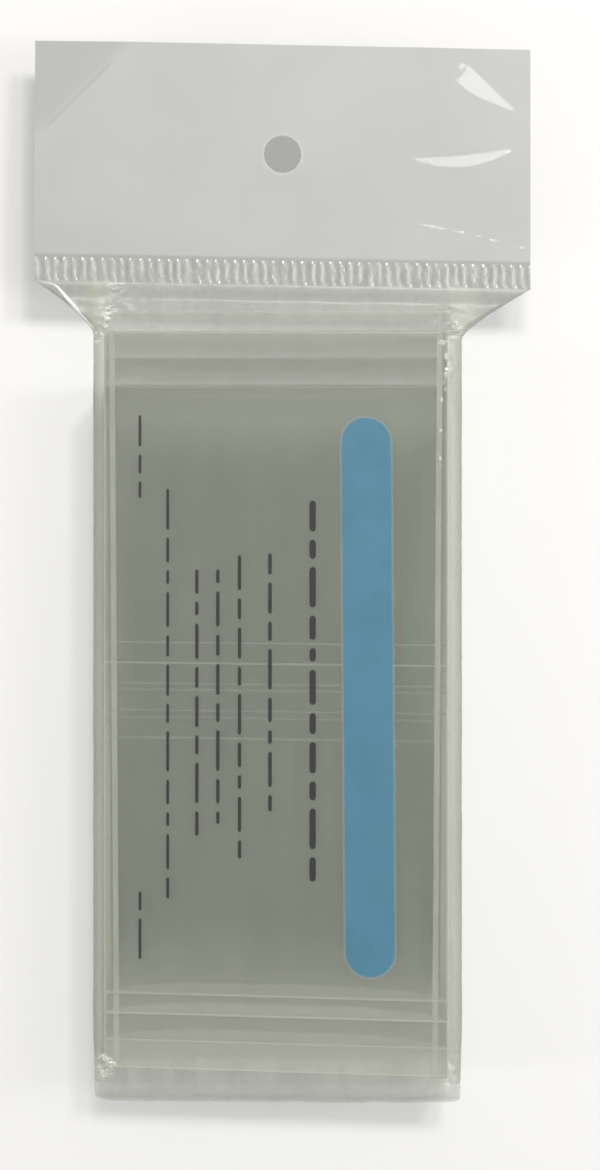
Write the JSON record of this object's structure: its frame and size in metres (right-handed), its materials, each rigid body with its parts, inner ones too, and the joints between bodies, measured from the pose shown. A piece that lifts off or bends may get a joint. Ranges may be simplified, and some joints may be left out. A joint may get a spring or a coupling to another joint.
{
  "type": "coin flip pack",
  "caption": "Hanging clear film bag with a white header, crimp seal and resealable flap, holding a stack of unfolded double-pocket coin flips that slide inside it.",
  "frame": {"origin": "under the middle of the pack, on the surface that it lies on", "axes": "+Y along the pack towards the header, +Z out of the front, +X to the right"},
  "size_m": [0.0734, 0.157, 0.0142],
  "materials": {
    "clear_film": "clear glossy film",
    "flip_film": "stiff clear polyester sheet, grey-green in a stack",
    "white_film": "white glossy film",
    "adhesive": "clear tacky strip"
  },
  "bodies": {
    "bag": {"front_film": "clear_film", "back_film": "clear_film", "side_welds": "clear_film"},
    "header": {"header_front_film": "clear_film", "header_white_sheet": "white_film", "header_back_film": "clear_film", "header_seal": "clear_film"},
    "end_panel": {"bottom_panel": "clear_film"},
    "lip": {"flap_lip": "clear_film", "adhesive_strip": "adhesive"},
    "flip_01": {"flip_01": "flip_film"},
    "flip_02": {"flip_02": "flip_film"},
    "flip_03": {"flip_03": "flip_film"},
    "flip_stack": {"flip_04": "flip_film", "flip_05": "flip_film", "flip_06": "flip_film", "flip_07": "flip_film", "flip_08": "flip_film", "flip_09": "flip_film", "flip_10": "flip_film", "flip_11": "flip_film", "flip_12": "flip_film", "flip_13": "flip_film", "flip_14": "flip_film", "flip_15": "flip_film", "flip_16": "flip_film", "flip_17": "flip_film", "flip_18": "flip_film", "flip_19": "flip_film", "flip_20": "flip_film", "flip_21": "flip_film", "flip_22": "flip_film", "flip_23": "flip_film", "flip_24": "flip_film", "flip_25": "flip_film", "flip_26": "flip_film", "flip_27": "flip_film", "flip_28": "flip_film", "flip_29": "flip_film", "flip_30": "flip_film", "flip_31": "flip_film", "flip_32": "flip_film", "flip_33": "flip_film", "flip_34": "flip_film", "flip_35": "flip_film", "flip_36": "flip_film", "flip_37": "flip_film", "flip_38": "flip_film", "flip_39": "flip_film", "flip_40": "flip_film", "flip_41": "flip_film", "flip_42": "flip_film", "flip_43": "flip_film", "flip_44": "flip_film", "flip_45": "flip_film", "flip_46": "flip_film", "flip_47": "flip_film", "flip_48": "flip_film", "flip_49": "flip_film", "flip_50": "flip_film"}
  },
  "joints": [
    {"name": "header_tilt", "type": "hinge", "parent": "bag", "child": "header", "pos_m": [0, 0.04275, 0.01197], "axis": [1, 0, 0], "range_deg": [-18, 105]},
    {"name": "end_open", "type": "hinge", "parent": "bag", "child": "end_panel", "pos_m": [0, -0.07515, 0.01412], "axis": [-1, 0, 0], "range_deg": [0, 120]},
    {"name": "lip_peel", "type": "hinge", "parent": "end_panel", "child": "lip", "pos_m": [0, -0.07515, 0.00005], "axis": [-1, 0, 0], "range_deg": [0, 110]},
    {"name": "flip_01_slide", "type": "slide", "parent": "bag", "child": "flip_01", "axis": [0, 1, 0], "range_m": [-0.012, 0.0008]},
    {"name": "flip_02_slide", "type": "slide", "parent": "bag", "child": "flip_02", "axis": [0, 1, 0], "range_m": [-0.009, 0.0038]},
    {"name": "flip_03_slide", "type": "slide", "parent": "bag", "child": "flip_03", "axis": [0, 1, 0], "range_m": [-0.0052, 0.0075]},
    {"name": "stack_slide", "type": "slide", "parent": "bag", "child": "flip_stack", "axis": [0, 1, 0], "range_m": [-0.0012, 0.007]}
  ]
}
